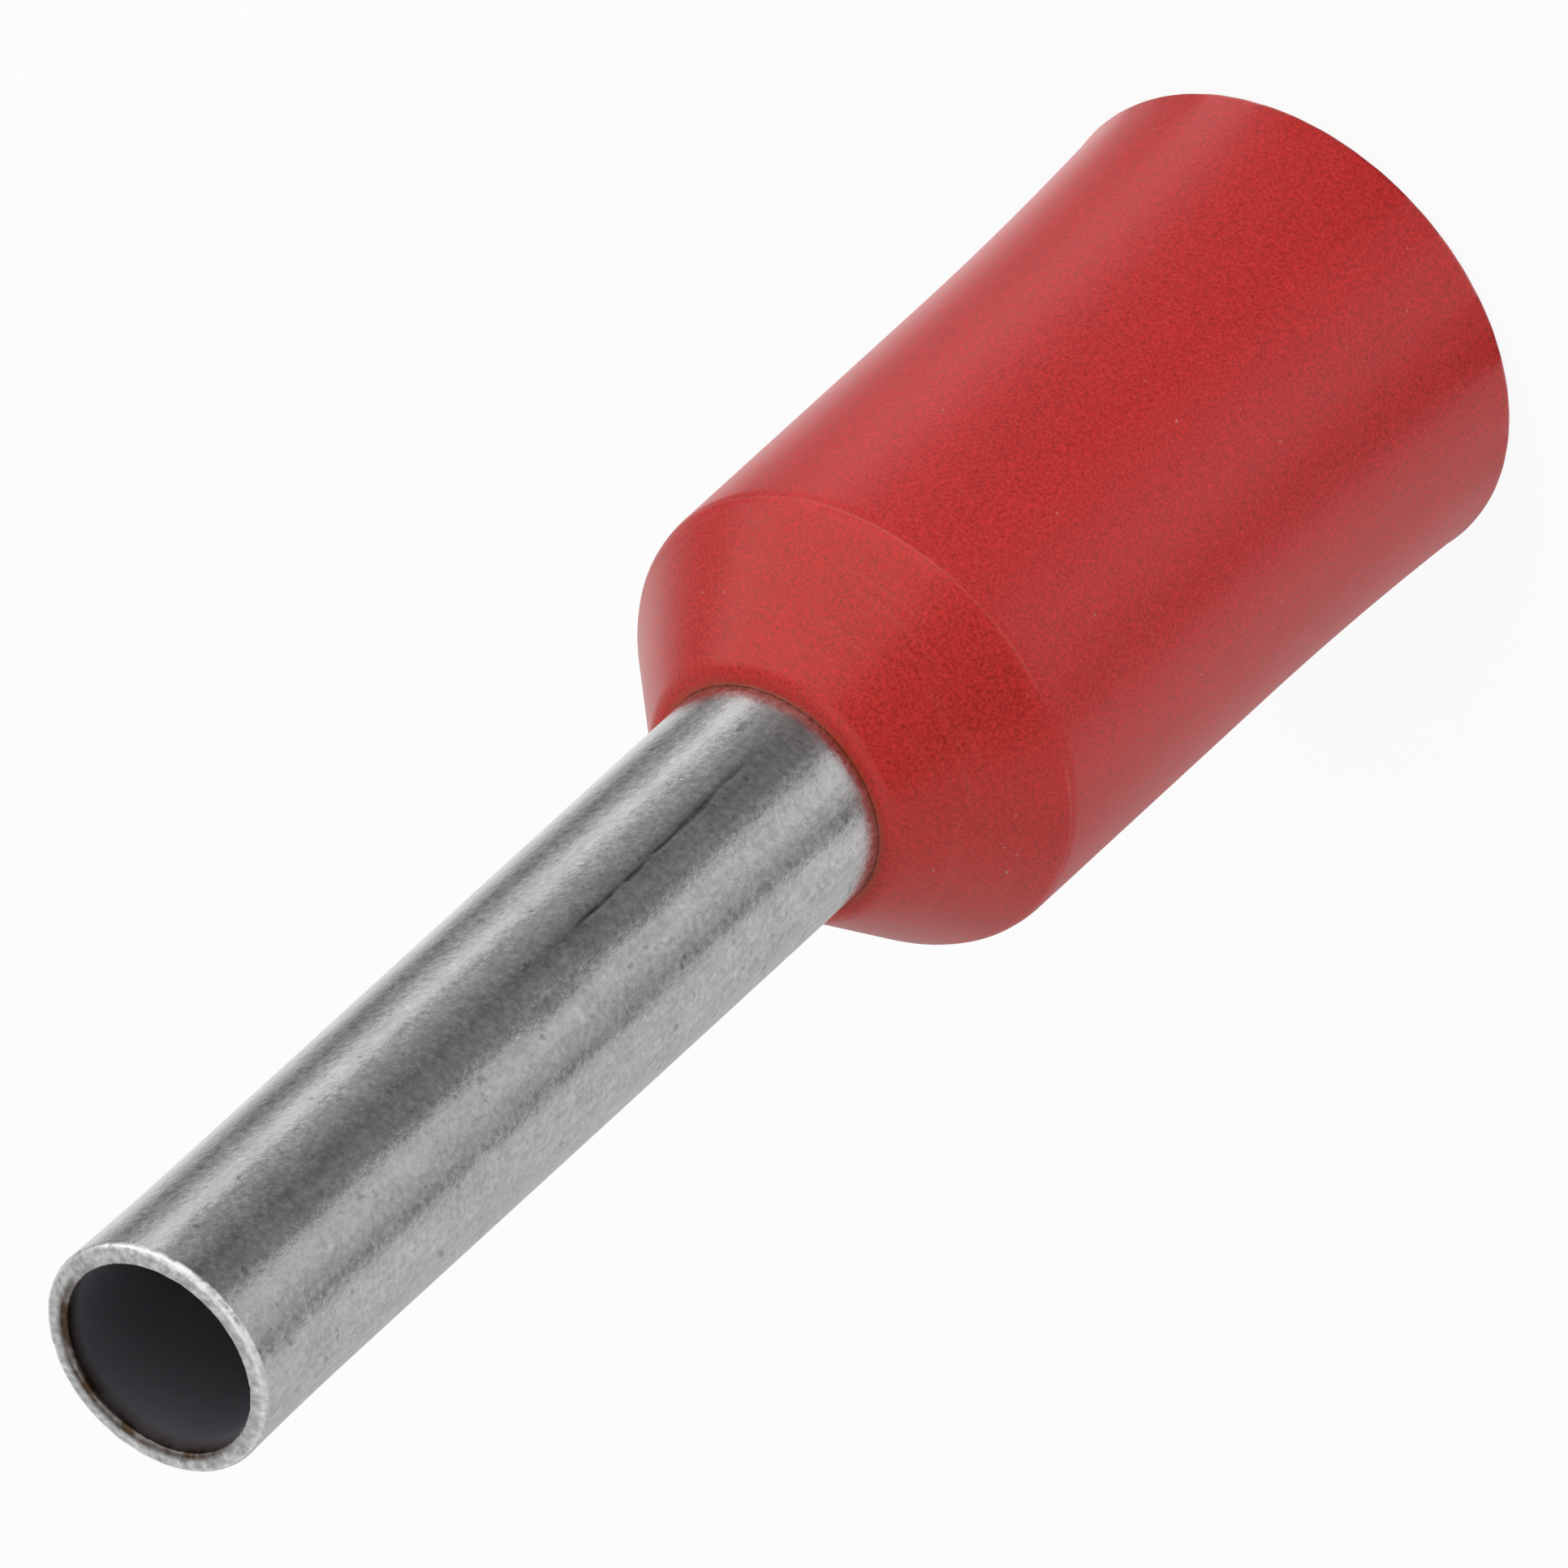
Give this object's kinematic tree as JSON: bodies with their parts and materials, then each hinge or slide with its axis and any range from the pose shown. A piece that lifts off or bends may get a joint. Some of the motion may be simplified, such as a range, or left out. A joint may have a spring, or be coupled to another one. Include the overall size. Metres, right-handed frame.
{
  "type": "wire ferrule",
  "caption": "Insulated wire ferrule: a tinned copper tube with a rounded lip, seated by its conical skirt in a tapered plastic collar with a gently flared mouth.",
  "frame": {"origin": "centre of the collar's mouth plane, on the axis", "axes": "+Z along the axis of revolution, from the collar's mouth to the tube's tip"},
  "size_m": [0.0038, 0.0038, 0.014],
  "materials": {
    "tinned_copper": "dull tin plating with fine drawing lines",
    "red_plastic": "semi-matt moulded polypropylene"
  },
  "bodies": {
    "root": {"barrel": "tinned_copper", "collar": "red_plastic"}
  },
  "joints": []
}
